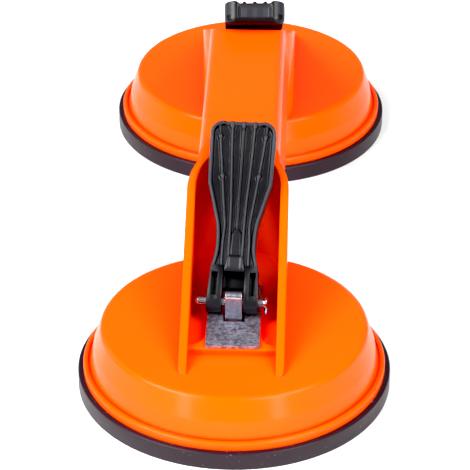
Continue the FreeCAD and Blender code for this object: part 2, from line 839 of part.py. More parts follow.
NODES = [make_body_shell()]
for end, place, turn, lean, shift in (
        ("front", size(CUP_PLACE), 0, size("front_lean"), size("front_side_play")),
        ("rear", -size(CUP_PLACE), 180, size("rear_lean"), size("rear_side_play"))):
    rubber_pad = make_rubber_pad(end + "_rubber_pad")
    wear_plate = make_wear_plate(end + "_wear_plate")
    backing_disc = make_backing_disc(end + "_backing_disc")
    stud = make_stud(end + "_stud")
    for item in (rubber_pad, wear_plate):
        put_upright(item, place, turn)
    for item in (backing_disc, stud):
        put_upright(item, place, turn + lean)
    split_pin = make_split_pin(end + "_split_pin")
    split_pin.Placement = at_pin(place, turn + lean, 0, 0)
    lever = make_lever(end + "_lever")
    lever.Placement = at_pin(place, turn + lean, shift, size("lever_slope"))
    NODES += [rubber_pad, wear_plate, backing_disc, stud, split_pin, lever]

doc.recompute()

for item in doc.Objects:
    if "Invalid" in item.State or "Error" in item.State:
        raise RuntimeError("%s did not build: %s" % (item.Name, item.State))

os.makedirs("parts", exist_ok=True)
for node in NODES:
    shape = node.Shape
    if shape.isNull() or not shape.isValid() or not shape.Solids:
        raise RuntimeError(node.Label + " has no valid solid")
    shape.exportStep("parts/%s.step" % node.Label)
    print("%-20s solids %d  volume %9.1f mm3" % (node.Label, len(shape.Solids), shape.Volume))
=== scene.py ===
# %% [markdown]
# # A floor tile suction lifter
# This tool lifts smooth slabs. Two rubber pads grip the slab, an orange moulded body joins them
# with a carrying handle, and a black lever at each end works a steel stud that draws its pad up.
# The measured model of the tool is loaded first and never moved. Everything made below shares its
# place, with +Z up and +Y along the handle. Its shapes are worked out in millimetres and turned
# into metres, the scene's unit, as their meshes are made.

# %% Load the measured model
import math

import bmesh
import bpy
import numpy as np
from mathutils import Matrix, Vector


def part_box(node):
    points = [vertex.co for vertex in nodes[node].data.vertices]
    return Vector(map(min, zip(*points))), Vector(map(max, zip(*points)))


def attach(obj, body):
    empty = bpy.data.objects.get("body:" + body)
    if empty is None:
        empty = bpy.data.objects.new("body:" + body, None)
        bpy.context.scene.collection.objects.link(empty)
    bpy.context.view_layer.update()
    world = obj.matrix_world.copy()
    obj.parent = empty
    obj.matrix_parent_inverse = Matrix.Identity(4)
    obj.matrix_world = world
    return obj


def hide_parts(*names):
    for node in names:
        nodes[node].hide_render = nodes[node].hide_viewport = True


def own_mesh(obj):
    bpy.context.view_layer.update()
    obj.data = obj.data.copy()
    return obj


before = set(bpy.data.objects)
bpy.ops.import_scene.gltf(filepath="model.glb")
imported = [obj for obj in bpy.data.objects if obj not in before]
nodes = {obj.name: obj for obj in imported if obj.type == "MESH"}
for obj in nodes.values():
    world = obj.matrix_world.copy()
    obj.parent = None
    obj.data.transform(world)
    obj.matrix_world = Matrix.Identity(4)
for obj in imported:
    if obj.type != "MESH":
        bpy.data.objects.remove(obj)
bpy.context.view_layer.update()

MM = 0.001

# %% [markdown]
# ## The camera
# The tool is shown through a long lens from in front and above, so that its straight edges stay
# nearly parallel. A constraint could aim the camera at a point, but a roll is then harder to set,
# so it is placed by its position and three angles: how far it is turned about the vertical, how
# far it looks down, and a slight roll.

# %% Place the camera
CAMERA_PLACE = (0.02762, -0.91078, 0.54637)
CAMERA_ANGLES = (-0.034, 0.539, 0.003)
FOCAL_LENGTH, FILM_WIDTH = 196.04, 36.0


def look(turn, dip, roll):
    """Rotation that looks along (sin turn cos dip, cos turn cos dip, -sin dip), then rolls."""
    level_part = math.cos(dip)
    ahead = Vector((math.sin(turn) * level_part, math.cos(turn) * level_part, -math.sin(dip)))
    right = Vector((math.cos(turn), -math.sin(turn), 0.0))
    up = right.cross(ahead)
    level = Matrix((right, up, -ahead)).transposed()
    return level @ Matrix.Rotation(roll, 3, "Z")


lens = bpy.data.cameras.new("studio_camera")
lens.lens, lens.sensor_width = FOCAL_LENGTH, FILM_WIDTH
lens.clip_start, lens.clip_end = 0.05, 20.0
camera = bpy.data.objects.new("studio_camera", lens)
camera.matrix_world = Matrix.Translation(CAMERA_PLACE) @ look(*CAMERA_ANGLES).to_4x4()
bpy.context.scene.collection.objects.link(camera)
bpy.context.scene.camera = camera
print("camera at", CAMERA_PLACE, "with a", FOCAL_LENGTH, "mm lens")

# %% [markdown]
# ## The studio
# A seamless pale floor and large soft lights light the tool evenly, as for a catalogue. Two big
# panels, high at the left and the right, give the main light. Two narrow strips, low in front,
# draw soft upright lines on the sides of the dishes, and a weak panel behind on the left lights
# the far edges. A dim white world fills the shadows. One lamp would do for the light itself, but
# its small, hard reflections would make the plastic look wet.

# %% The lights
def panel(name, place, aim, size, power):
    """An area light of that width and height, hung at a place and turned to face a point."""
    light = bpy.data.lights.new(name, "AREA")
    light.shape, light.size, light.size_y = "RECTANGLE", size[0], size[1]
    light.energy = power
    lamp = bpy.data.objects.new(name, light)
    lamp.location = place
    lamp.rotation_euler = (Vector(aim) - Vector(place)).to_track_quat("-Z", "Y").to_euler()
    bpy.context.scene.collection.objects.link(lamp)


# Each light: its place, the point that it faces, its width and height, and its power in watts.
TOOL, FRONT_DISH = (0, 0, 0.03), (0, -0.1, 0.03)
LIGHTS = {
    "left_key": ((-0.95, -0.65, 1.15), TOOL, (0.9, 0.9), 52),
    "right_key": ((0.85, -0.8, 1.12), TOOL, (0.9, 0.9), 36),
    "left_strip": ((-0.82, -1.25, 0.3), FRONT_DISH, (0.22, 0.5), 7),
    "right_strip": ((0.82, -1.25, 0.3), FRONT_DISH, (0.22, 0.5), 6),
    "left_edge": ((-1.25, 0.7, 0.75), TOOL, (0.7, 0.7), 3),
}
for name, settings in LIGHTS.items():
    panel(name, *settings)
print("lights:", list(LIGHTS))

# %% The world, the floor and how the light is shown
WORLD_STRENGTH, FLOOR_SIDE, BLACK_POINT = 0.3, 6.0, 0.008
world = bpy.data.worlds.new("studio")
world.use_nodes = True
backdrop = world.node_tree.nodes["Background"]
backdrop.inputs["Color"].default_value = (1, 1, 1, 1)
backdrop.inputs["Strength"].default_value = WORLD_STRENGTH
bpy.context.scene.world = world

# "Standard" keeps the orange as strong as it is mixed, and the black point deepens the levers.
shown = bpy.context.scene.view_settings
shown.view_transform = "Standard"
shown.use_curve_mapping = True
shown.curve_mapping.black_level = (BLACK_POINT,) * 3
shown.curve_mapping.update()

floor_mesh = bpy.data.meshes.new("floor")
corners = [(x * FLOOR_SIDE, y * FLOOR_SIDE, 0) for x, y in ((-1, -1), (1, -1), (1, 1), (-1, 1))]
floor_mesh.from_pydata(corners, [], [(0, 1, 2, 3)])
floor = bpy.data.objects.new("floor", floor_mesh)
bpy.context.scene.collection.objects.link(floor)
print("a white world, and a floor", 2 * FLOOR_SIDE, "m wide")

# %% [markdown]
# ## A short way to write materials
# A material is a graph of nodes. Written out node by node it is long and hard to read, so a
# socket is wrapped in a small class that understands plus and times: the formula
# `0.2 + 0.1 * cloud` then adds its own Math nodes. Every other kind of node comes from one method.

# %% Sockets as numbers, and one method for any node
class Wire:
    """A node's output that can be used in a formula; each operator adds one Math node."""

    def __init__(self, mix, socket):
        self.mix, self.socket = mix, socket

    def maths(self, operation, first, second):
        """One Math node that works on these two."""
        return self.mix.node("ShaderNodeMath", {"operation": operation}, {0: first, 1: second})

    def __add__(self, other):
        return self.maths("ADD", self, other)

    def __radd__(self, other):
        return self.maths("ADD", other, self)

    def __mul__(self, other):
        return self.maths("MULTIPLY", self, other)

    def __rmul__(self, other):
        return self.maths("MULTIPLY", other, self)


class Finish:
    """A material being mixed: its shader, and one way to add any node to it."""

    def __init__(self, name, **constants):
        self.material = bpy.data.materials.new(name)
        self.material.use_nodes = True
        self.tree = self.material.node_tree
        self.shader = self.tree.nodes["Principled BSDF"]
        for socket, value in constants.items():
            self.shader.inputs[socket.replace("_", " ")].default_value = value
        self.place = self.node("ShaderNodeTexCoord", out="Object")

    def put(self, socket, value):
        """Link a wire to a socket, or set its value."""
        if isinstance(value, Wire):
            self.tree.links.new(value.socket, socket)
        else:
            socket.default_value = value

    def node(self, kind, settings=None, sockets=None, out=0):
        """Any node: its settings are set first, and then its sockets."""
        made = self.tree.nodes.new(kind)
        for name, value in (settings or {}).items():
            setattr(made, name, value)
        for name, value in (sockets or {}).items():
            self.put(made.inputs[name], value)
        return Wire(self, made.outputs[out])

    def feed(self, **sockets):
        """Give the shader's own sockets a wire."""
        for name, value in sockets.items():
            self.put(self.shader.inputs[name.replace("_", " ")], value)

    def noise(self, scale, detail=3.0, roughness=0.5):
        """Fractal noise from 0 to 1, with this many waves a metre."""
        sockets = {"Vector": self.place, "Scale": scale, "Detail": detail, "Roughness": roughness}
        return self.node("ShaderNodeTexNoise", None, sockets, "Fac")

    def step(self, value, low, high, start=0.0, end=1.0):
        """A smooth change from start to end as a value goes from low to high."""
        sockets = {
            "Value": value, "From Min": low, "From Max": high, "To Min": start, "To Max": end}
        return self.node("ShaderNodeMapRange", {"interpolation_type": "SMOOTHSTEP"}, sockets)

    def blend(self, share, first, second):
        """A colour between two colours."""
        return self.node("ShaderNodeMix", {"data_type": "RGBA"}, {0: share, 6: first, 7: second}, 2)

    def bump(self, height, strength, distance, edge=0.0005):
        """Relief from a height, on edges eased over this radius as a mould's always are."""
        eased = self.node("ShaderNodeBevel", {"samples": 4}, {"Radius": edge})
        sockets = {
            "Height": height, "Strength": strength, "Distance": distance, "Normal": eased}
        return self.node("ShaderNodeBump", None, sockets, "Normal")


print("formulas ready")

# %% [markdown]
# ## The orange body's finish
# The body is moulded in one go from a tough bright orange plastic. Its skin is a satin gloss:
# smooth enough for soft reflections, with the faint orange-peel of the mould and a little
# variation in shine. Its own colour is almost even. The red in the narrow wells under the levers
# is painted shade: the colour is painted a deeper red where light has bounced many times, as the
# node that measures how much open air is round a point tells. The handle's long edges are rounder
# than those of the thin walls, so the radius that eases them grows with the height above the floor.

# %% Orange moulded plastic
PALE_ORANGE, FULL_ORANGE = (0.95, 0.082, 0.001, 1), (0.92, 0.068, 0.0005, 1)
# The red painted into shut-in places as shade.
PAINTED_SHADE_RED = (0.86, 0.02, 0.002, 1)
HANDLE_FROM, HANDLE_TO = 0.058, 0.066


def orange_plastic():
    """Two oranges mixed by a slow cloud, then painted shade: red by how shut in a point is."""
    mix = Finish("orange_moulded_plastic", Specular_IOR_Level=0.11)
    cloud = mix.noise(14.0, 2.0)
    peel = mix.noise(900.0, 2.0)
    height = mix.node("ShaderNodeSeparateXYZ", None, {"Vector": mix.place}, "Z")
    handle = mix.step(height, HANDLE_FROM, HANDLE_TO)
    open_air = mix.node("ShaderNodeAmbientOcclusion", {"samples": 8}, {"Distance": 0.03}, "AO")
    # Painted shade: the base colour turns red where little open air is round a point.
    painted_shade = mix.step(open_air, 0.3, 0.75, 0.85, 0.0)
    skin = mix.blend(cloud, FULL_ORANGE, PALE_ORANGE)
    mix.feed(
        Base_Color=mix.blend(painted_shade, skin, PAINTED_SHADE_RED),
        Roughness=0.17 + 0.07 * mix.noise(60.0, 3.0),
        Normal=mix.bump(peel, 0.08, 0.0004, edge=0.0012 + 0.002 * handle),
    )
    return mix.material


orange = orange_plastic()
print("made", orange.name)

# %% [markdown]
# ## The levers' finish
# The levers are moulded from a black, glass-filled plastic. Its shine is duller than the body's,
# and its fine grain breaks up the reflections on the ribs. The tops of the rims, ribs and buttons
# are painted a paler grey than the black floor between them: a painted highlight, which leaves
# the recess dark as if in shade. So every point of a lever carries a number that says how far it
# stands out, named "relief", and the colour follows that number.

# %% Black moulded plastic
FLOOR_BLACK = (0.0012, 0.001, 0.0022, 1)
# The crests' two greys are painted highlight, not the plastic's own colour.
PAINTED_HIGHLIGHT_DARK, PAINTED_HIGHLIGHT_PALE = (0.011, 0.011, 0.0155, 1), (0.022, 0.022, 0.029, 1)


def black_plastic():
    """Black where the relief is under 0.45, and a painted highlight of clouded dark grey over 0.95.
    """
    mix = Finish("black_moulded_plastic", Specular_IOR_Level=0.24)
    relief = mix.node("ShaderNodeAttribute", {"attribute_name": "relief"}, out="Fac")
    # Painted highlight: how much of the paler crest grey a point gets.
    painted_highlight = mix.step(relief, 0.45, 0.95)
    grain = mix.noise(2600.0, 2.0)
    cloud = mix.noise(300.0)
    mix.feed(
        Base_Color=mix.blend(painted_highlight, FLOOR_BLACK, mix.blend(cloud, PAINTED_HIGHLIGHT_DARK, PAINTED_HIGHLIGHT_PALE)),
        Roughness=0.24 + 0.12 * painted_highlight + 0.12 * mix.noise(200.0),
        Normal=mix.bump(grain, 0.1, 0.0002, edge=0.0004),
    )
    return mix.material


black = black_plastic()
print("made", black.name)

# %% [markdown]
# ## The pads' finish
# Each pad is soft rubber, nearly black with a trace of purple. It is duller than the plastics, it
# looks a little grey where dust clings to it, and under strong light tiny pale specks show.

# %% Dark rubber
CLEAN_RUBBER, DUSTY_RUBBER = (0.004, 0.0007, 0.0028, 1), (0.015, 0.0022, 0.0105, 1)
SPECK = (0.2, 0.17, 0.19, 1)


def dark_rubber():
    """Clean to dusty by a cloud, with a pale speck wherever a fine noise is over 0.72."""
    mix = Finish("dark_rubber", Specular_IOR_Level=0.3)
    specks = mix.step(mix.noise(1100.0, 1.0), 0.72, 0.78)
    bloom = mix.noise(80.0, 4.0)
    base = mix.blend(bloom, CLEAN_RUBBER, DUSTY_RUBBER)
    mix.feed(
        Base_Color=mix.blend(0.6 * specks, base, SPECK),
        Roughness=0.34 + 0.12 * bloom,
        Normal=mix.bump(mix.noise(1800.0, 2.0), 0.12, 0.0002),
    )
    return mix.material


rubber = dark_rubber()
print("made", rubber.name)

# %% [markdown]
# ## Zinc and steel
# The wear plate under each lever is galvanised sheet: flat zinc crystals, each tilted its own
# way, so that neighbours catch the light differently. The stud and split pin are plain bright
# zinc-plated steel.

# %% Galvanised sheet and bright steel
PALE_ZINC, DARK_ZINC = (0.38, 0.38, 0.47, 1), (0.1, 0.095, 0.125, 1)
DARK_STEEL, PALE_STEEL = (0.34, 0.34, 0.4, 1), (0.6, 0.6, 0.67, 1)


def galvanised():
    """Pale to dark by three tenths crystals and seven tenths fine mottle, plus a slow cloud."""
    mix = Finish("galvanised_sheet")
    sockets = {"Vector": mix.place, "Scale": 900.0}
    crystals = mix.node("ShaderNodeTexVoronoi", None, sockets, "Color")
    shade = mix.node("ShaderNodeSeparateColor", None, {"Color": crystals}, "Red")
    mottle = mix.noise(1000.0, 4.0, 0.6)
    cloud = mix.noise(160.0, 2.0)
    dark = mix.step(0.3 * shade + 0.7 * mottle + 0.35 * cloud, 0.42, 0.92)
    mix.feed(
        Base_Color=mix.blend(dark, PALE_ZINC, DARK_ZINC),
        Metallic=0.7 + 0.2 * mottle,
        Roughness=0.3 + 0.2 * mottle,
        Normal=mix.bump(shade + 0.6 * mottle, 0.3, 0.0002),
    )
    return mix.material


def bright_steel():
    """Colour, roughness and relief that all follow one scratchy noise."""
    mix = Finish("bright_steel", Metallic=1.0)
    scratch = mix.noise(700.0, 3.0)
    mix.feed(
        Base_Color=mix.blend(scratch, DARK_STEEL, PALE_STEEL),
        Roughness=0.16 + 0.16 * scratch,
        Normal=mix.bump(scratch, 0.12, 0.0002),
    )
    return mix.material


zinc, steel = galvanised(), bright_steel()
print("made", zinc.name, "and", steel.name)

# %% [markdown]
# ## The studio floor's finish
# A pale matt floor, lit evenly.

# %% Pale floor
DIM_FLOOR, BRIGHT_FLOOR = (0.78, 0.78, 0.78, 1), (0.8, 0.8, 0.8, 1)


def pale_floor():
    """Two nearly equal greys mixed by a very slow cloud."""
    mix = Finish("pale_floor", Roughness=0.9)
    mix.feed(Base_Color=mix.blend(mix.noise(3.0), DIM_FLOOR, BRIGHT_FLOOR))
    return mix.material


floor.data.materials.append(pale_floor())
print("made", floor.data.materials[0].name)

# %% [markdown]
# ## Dress the measured pieces
# Every measured piece gets the finish of its kind. The body, the plates, the studs, the discs and
# the pins are shown as they were measured, because their shapes are plain. The levers and the
# pads are made again below.

# %% Dress the measured pieces
FINISHES = {
    "body_shell": orange, "lever": black, "rubber_pad": rubber, "wear_plate": zinc,
    "stud": steel, "backing_disc": steel, "split_pin": steel,
}
for name, piece in nodes.items():
    finish = next(value for key, value in FINISHES.items() if name.endswith(key))
    piece.data.materials.clear()
    piece.data.materials.append(finish)
print("dressed", len(nodes), "measured pieces")

# %% [markdown]
# ## The levers
# A lever is one black moulding. Its face has a raised rounded rim, five ribs that fan out towards
# the tip and end in small round buttons, and a narrow tongue that widens into a low step at the
# foot. The foot is a fork, whose two arms hold the pin and press on the plate as a cam. It could
# be sculpted by hand. Here the face is a formula instead: the height of a point depends only on
# how far it is along the lever and across it, so the ribs stay true from end to end.

# %% Small helpers for shapes
WELD = 2e-6


def ramp(value, low, high):
    """Smooth change from 0 at low to 1 at high: 3 t squared minus 2 t cubed."""
    t = np.clip((value - low) / (high - low), 0.0, 1.0)
    return t * t * (3.0 - 2.0 * t)


def grid_faces(rows, columns, start=0, around=False):
    """The quads of a grid of points numbered row by row, each row joined into a ring by around."""
    last = columns if around else columns - 1
    i, j = np.meshgrid(np.arange(rows - 1), np.arange(last), indexing="ij")
    k = (j + 1) % columns
    here, beyond = i * columns, (i + 1) * columns
    return np.stack([here + j, here + k, beyond + k, beyond + j], -1).reshape(-1, 4) + start


def build(name, points, faces, material, smooth_angle=35.0):
    """A mesh object from points in metres, its doubles welded and its faces turned outwards."""
    mesh = bpy.data.meshes.new(name)
    mesh.from_pydata(np.asarray(points).tolist(), [], [list(map(int, face)) for face in faces])
    form = bmesh.new()
    form.from_mesh(mesh)
    bmesh.ops.remove_doubles(form, verts=form.verts, dist=WELD)
    bmesh.ops.dissolve_degenerate(form, edges=form.edges, dist=WELD / 2)
    bmesh.ops.recalc_face_normals(form, faces=form.faces)
    form.to_mesh(mesh)
    form.free()
    mesh.shade_smooth()
    mesh.set_sharp_from_angle(angle=math.radians(smooth_angle))
    mesh.materials.append(material)
    piece = bpy.data.objects.new(name, mesh)
    bpy.context.scene.collection.objects.link(piece)
    return piece


print("shape helpers ready, doubles are welded within", WELD / MM, "mm")

# %% The lever's measures, in millimetres
# Along is measured from the pin, across from the middle, and height out from the ribbed side. A
# pair of lists gives places along the lever and the value at each.
LENGTH, FACE_HEIGHT, FOOT, BLADE_START = 71.0, 3.1, 14.5, 11.0
TIP_CORNER, RIM, RIM_SLOPE, RECESS = 5.0, 1.9, 0.9, 1.45
OUTLINE = (
    [-9.2, 1.4, 9.5, 13.6, 16.6, 19.6, 24.8, 29.7, 46.4, 65.7, 80.0],
    [9.9, 9.75, 9.35, 8.75, 7.95, 7.5, 7.5, 7.9, 12.2, 12.55, 12.55])
UNDERSIDE = ([0.0, 14.5, 56.6, 67.5, 80.0], [-5.4, -5.0, -4.2, -8.9, -8.9])
RIB_RUNS = (
    ([0.0, 23.0, 29.0, 38.0, 48.0, 64.6, 69.0, 71.0], [5.1, 5.0, 4.6, 5.65, 6.8, 8.65, 8.95, 9.0]),
    ([0.0, 17.0, 30.0, 38.0, 48.0, 57.0, 70.0], [2.6, 2.6, 2.65, 2.85, 3.4, 3.85, 4.3]),
)
TONGUE = ([11.0, 13.5, 16.0, 17.6, 26.0, 28.0, 80.0], [3.5, 3.2, 2.4, 1.4, 1.2, 0.1, 0.1])
BUTTONS = ((0.0, 69.1), (4.35, 69.1), (8.65, 64.8), (6.9, 49.1))
# How much of the recess's depth each fills, and how far it reaches to either side.
RIB_RISE, RIB_REACH = 0.84, 0.74
TONGUE_RISE, TONGUE_DROP, TONGUE_REACH = 0.84, 0.3, 0.68
BUTTON_RISE, BUTTON_REACH = 0.97, 1.25
print("lever:", LENGTH, "mm from its pin to its tip,", 2 * max(OUTLINE[1]), "mm wide")


# %% The lever's outline and crown
def spread(along, run):
    """A value read off straight runs between points, as its mean over 1.2 mm to either side."""
    offsets = np.linspace(-1.2, 1.2, 7)
    return sum(np.interp(along + shift, *run) for shift in offsets) / len(offsets)


def crown(along):
    """Height of the rim's top: level to the foot's end, then a slow curve down to 0 at the tip.

    The curve is a Bezier whose height falls as (1 - t) cubed plus 3 (1 - t) squared t.
    """
    t = np.linspace(0.0, 1.0, 200)
    reach = LENGTH / 3
    place = (1 - t) ** 3 * FOOT + 3 * (1 - t) ** 2 * t * (FOOT + reach)
    place = place + 3 * (1 - t) * t ** 2 * (LENGTH - reach) + t ** 3 * LENGTH
    return np.interp(along, place, FACE_HEIGHT * ((1 - t) ** 3 + 3 * (1 - t) ** 2 * t))


def half_width(along):
    """Half the lever's width, less the quarter circle of each corner at the tip."""
    into = np.clip(along - (LENGTH - TIP_CORNER), 0.0, TIP_CORNER)
    return spread(along, OUTLINE) - TIP_CORNER + np.sqrt(TIP_CORNER ** 2 - into ** 2)


def from_edge(along, across):
    """Distance in from the lever's edge, as for a box with rounded corners."""
    a = np.abs(across) - (spread(along, OUTLINE) - TIP_CORNER)
    b = along - (LENGTH - TIP_CORNER)
    past_corner = np.hypot(np.maximum(a, 0), np.maximum(b, 0))
    return TIP_CORNER - past_corner - np.minimum(np.maximum(a, b), 0)


def ridge(offset, reach):
    """A rounded ridge: 1 on its line, falling as one minus the cube of the share of its reach."""
    return 1.0 - np.clip(np.abs(offset) / reach, 0.0, 1.0) ** 3


def rounded(distance, radius):
    """How far a rounded edge has dropped this far in from it: a quarter circle of that radius."""
    t = np.clip(radius - distance, 0.0, radius)
    return radius - np.sqrt(radius ** 2 - t ** 2)


print("half its width at the waist:", round(float(half_width(22.0)), 2), "mm")

# %% The ribbed face and the back
def relief(along, across):
    """1 on top of a rim, rib, tongue or button, and 0 on the floor of the recess.

    It is one minus the product of what every rib, rim and button leaves open. The ribs rise out
    of the foot over 3 mm, the outer two sink a little at the tip, and the tongue steps down
    where it narrows.
    """
    side_of = np.abs(across)
    open_floor = 1.0 - ramp(from_edge(along, across), RIM, RIM - RIM_SLOPE)
    outer_sink = 0.25 * ramp(along, 64.0, 69.0) * ramp(side_of, 7.0, 8.4)
    rib_rise = RIB_RISE * ramp(along, BLADE_START, 14.0) * (1.0 - outer_sink)
    for run in RIB_RUNS:
        open_floor = open_floor * (1.0 - rib_rise * ridge(side_of - spread(along, run), RIB_REACH))
    past_tongue = np.maximum(side_of - np.interp(along, *TONGUE), 0.0)
    tongue_rise = TONGUE_RISE - TONGUE_DROP * ramp(along, 16.2, 17.6)
    open_floor = open_floor * (1.0 - tongue_rise * ridge(past_tongue, TONGUE_REACH))
    for place, reach in BUTTONS:
        from_button = np.hypot(side_of - place, along - reach)
        open_floor = open_floor * (1.0 - BUTTON_RISE * ridge(from_button, BUTTON_REACH))
    return 1.0 - open_floor


def face_height(along, across):
    """Height of the ribbed face: the crown, less the recess wherever nothing stands.

    At the tip the rim rises to a horn at each corner and dips between them, but not where a
    rib's button meets it. Its outer edge and its start at the foot are rounded.
    """
    edge = from_edge(along, across)
    side_of = np.abs(across)
    rim = ramp(edge, RIM, RIM - RIM_SLOPE)
    tip_rise = 0.4 * ramp(along, 50.0, 70.0)
    horns = 0.35 * ramp(along, 61.0, 69.0) * ramp(side_of, 6.2, 8.2) * rim
    low_end = 0.75 * ramp(along, 67.0, 69.4) * ramp(side_of, 7.8, 6.0) * rim
    low_end = low_end * (1.0 - sum(ridge(side_of - place, 0.9) for place, _ in BUTTONS[:2]))
    top = crown(along) + tip_rise + horns - low_end
    top = top - RECESS * (1.0 - relief(along, across))
    edge_round = 0.7 - 0.2 * ramp(along, 64.0, 68.0)
    return top - rounded(edge, edge_round) - rounded(along - BLADE_START, 0.9)


def underside(along, across):
    """Height of the back: straight runs, its edges rounded by 0.8 mm, and by 2.4 mm at the tip."""
    radius = 0.8 + 1.6 * ramp(along, 60.0, 68.0)
    return spread(along, UNDERSIDE) + rounded(from_edge(along, across), radius)


print("a rib stands", round(RECESS * RIB_RISE, 2), "mm above the floor of the recess")

# %% The blade, from the fork to the tip
FACE_COLUMNS, WALL_ROWS = 131, 26
START_STEPS, START_EASE, STEP, TIP_STEPS = 6, 0.6, 0.26, 34
SCOOP = 1.3


def blade_places():
    """Places along the blade, closer together at its start and round the corners of its tip."""
    bend = math.pi / 2
    tip = LENGTH - TIP_CORNER
    return np.concatenate([
        BLADE_START + START_EASE * (1 - np.cos(np.linspace(0, bend, START_STEPS))),
        np.arange(BLADE_START + 0.8, tip - 0.1, STEP),
        tip + TIP_CORNER * np.sin(np.linspace(0, bend, TIP_STEPS))])


def blade():
    """Points and quads of the blade: loops round the lever, closed by a gridded face at each end.

    A loop runs over the face, down the right wall, back under and up the left wall. The face at
    the tip is scooped hollow.
    """
    along = blade_places()
    span = np.linspace(-1.0, 1.0, FACE_COLUMNS)
    span = np.sin(span * math.pi / 2) * 0.35 + span * 0.65
    u, s = np.meshgrid(along, span, indexing="ij")
    x = half_width(u) * s
    top, low = face_height(u, x), underside(u, x)
    share = np.linspace(0.0, 1.0, WALL_ROWS)
    inner = share[1:-1]
    right = top[:, -1:] + (low[:, -1:] - top[:, -1:]) * inner
    left = low[:, :1] + (top[:, :1] - low[:, :1]) * inner
    across = np.concatenate([
        x, np.repeat(x[:, -1:], len(inner), 1), x[:, ::-1], np.repeat(x[:, :1], len(inner), 1)], 1)
    height = np.concatenate([top, right, low[:, ::-1], left], 1)
    reach = np.repeat(along[:, None], across.shape[1], 1)
    points = [np.stack([across, reach, height], -1).reshape(-1, 3)]
    faces = [grid_faces(len(along), across.shape[1], around=True)]
    for row, depth in ((0, 0.0), (-1, SCOOP)):
        face_x = np.repeat(x[row][None], WALL_ROWS, 0)
        face_z = top[row] + (low[row] - top[row]) * share[:, None]
        middle = ramp(np.abs(face_x), 7.4, 5.4) * ramp(face_z, 0.2, -2.4) * ramp(face_z, -8.6, -7.0)
        face_y = along[row] - depth * middle
        faces.append(grid_faces(WALL_ROWS, len(span), start=sum(map(len, points))))
        points.append(np.stack([face_x, face_y, face_z], -1).reshape(-1, 3))
    return np.concatenate(points), np.concatenate(faces)


points, faces = blade()
print("blade:", len(points), "points,", len(faces), "faces")

# %% [markdown]
# The fork's arms are drawn from the side. The cam at their end is worked out, not drawn: its
# distance to the plate falls evenly as the lever turns, by 2 mm over 105 degrees.

# %% The fork's arm from the side
# The lever's slope at rest and its travel in degrees, the stud's lift, and the distance from the
# pin to the plate at rest.
SLOPE, TRAVEL, LIFT, NEAR, HEEL = 43.2, 105.0, 2.0, 5.05, 1.5
ARM_END = [(0.0, FACE_HEIGHT), (13.0, FACE_HEIGHT), (13.6, 2.5), (14.0, -4.4), (13.4, -4.95)]


def arm_outline():
    """The arm from the side: the cam's curve, then the flat face and back as far as the blade.

    A point of the cam lies at the distance p along the plate's direction and dp/da across it,
    with p falling evenly with the angle a. A short flat heel leads up to it.
    """
    turned = np.radians(np.linspace(0.0, TRAVEL, 25))
    rate = LIFT / math.radians(TRAVEL)
    down = math.radians(270.0 - SLOPE)
    angle = down - turned
    near = NEAR - rate * turned
    cam = np.stack([np.cos(angle) * near - np.sin(angle) * rate,
                    np.sin(angle) * near + np.cos(angle) * rate], -1)
    heel = cam[0] + HEEL * np.array([-math.sin(down), math.cos(down)])
    return np.concatenate([[heel], cam, ARM_END])


def slab(outline, low, high, radius):
    """A flat shape with rounded edges: rings of the outline, drawn in near its two sides.

    A ring at the depth d from a side is drawn in by radius minus root (radius squared minus
    (radius - d) squared).
    """
    after, before = np.roll(outline, -1, 0), np.roll(outline, 1, 0)
    ahead = after - before
    inward = np.stack([-ahead[:, 1], ahead[:, 0]], -1)
    area = np.sum(outline[:, 0] * after[:, 1] - outline[:, 1] * after[:, 0])
    inward = inward / np.linalg.norm(inward, axis=1, keepdims=True) * np.sign(area)
    bend = np.linspace(0.0, math.pi / 2, 5)
    depth = radius * (1 - np.cos(bend))
    inset = radius * (1 - np.sin(bend))
    places = np.concatenate([low + depth, high - depth[::-1]])
    insets = np.concatenate([inset, inset[::-1]])
    rings = outline[None] + inward[None] * insets[:, None, None]
    across = np.repeat(places[:, None], len(outline), 1)
    points = np.concatenate([across[..., None], rings], -1).reshape(-1, 3)
    faces = grid_faces(len(places), len(outline), around=True).tolist()
    faces.append(list(range(len(outline))))
    faces.append(list(range(len(points) - len(outline), len(points))))
    return points, faces


def cut_away(piece, cutter):
    """Take one shape out of another, then keep the result as a plain mesh."""
    step = piece.modifiers.new("cut", "BOOLEAN")
    step.operation, step.solver, step.object = "DIFFERENCE", "EXACT", cutter
    graph = bpy.context.evaluated_depsgraph_get()
    made = bpy.data.meshes.new_from_object(piece.evaluated_get(graph))
    piece.modifiers.clear()
    piece.data = made
    bpy.data.objects.remove(cutter)


# %% The two arms and the web between them
ARM_INSIDE, ARM_OUTSIDE, ARM_ROUND, SHARP = 4.0, 9.1, 0.45, 0.05
NOTCH_SIDES = (6.0, 8.3)
NOTCH = np.array([(0.1, 4.0), (0.1, 1.85), (2.1, 1.85), (2.9, -0.9), (10.6, -0.9), (10.6, 4.0)])
BORE_RADIUS, BORE_SIDES, BORE_STEP = 1.51, (2.0, 12.0), 7.5
WEB_HALF, WEB_HOLLOW = 4.6, 7.0
WEB_BACK = [(7.0, -3.8), (12.6, -3.3), (12.6, -4.9), (5.2, -4.95)]


def circle(degrees, radius):
    """Points of a circle about the pin, at these angles."""
    turn = np.radians(degrees)
    return radius * np.stack([np.cos(turn), np.sin(turn)], -1)


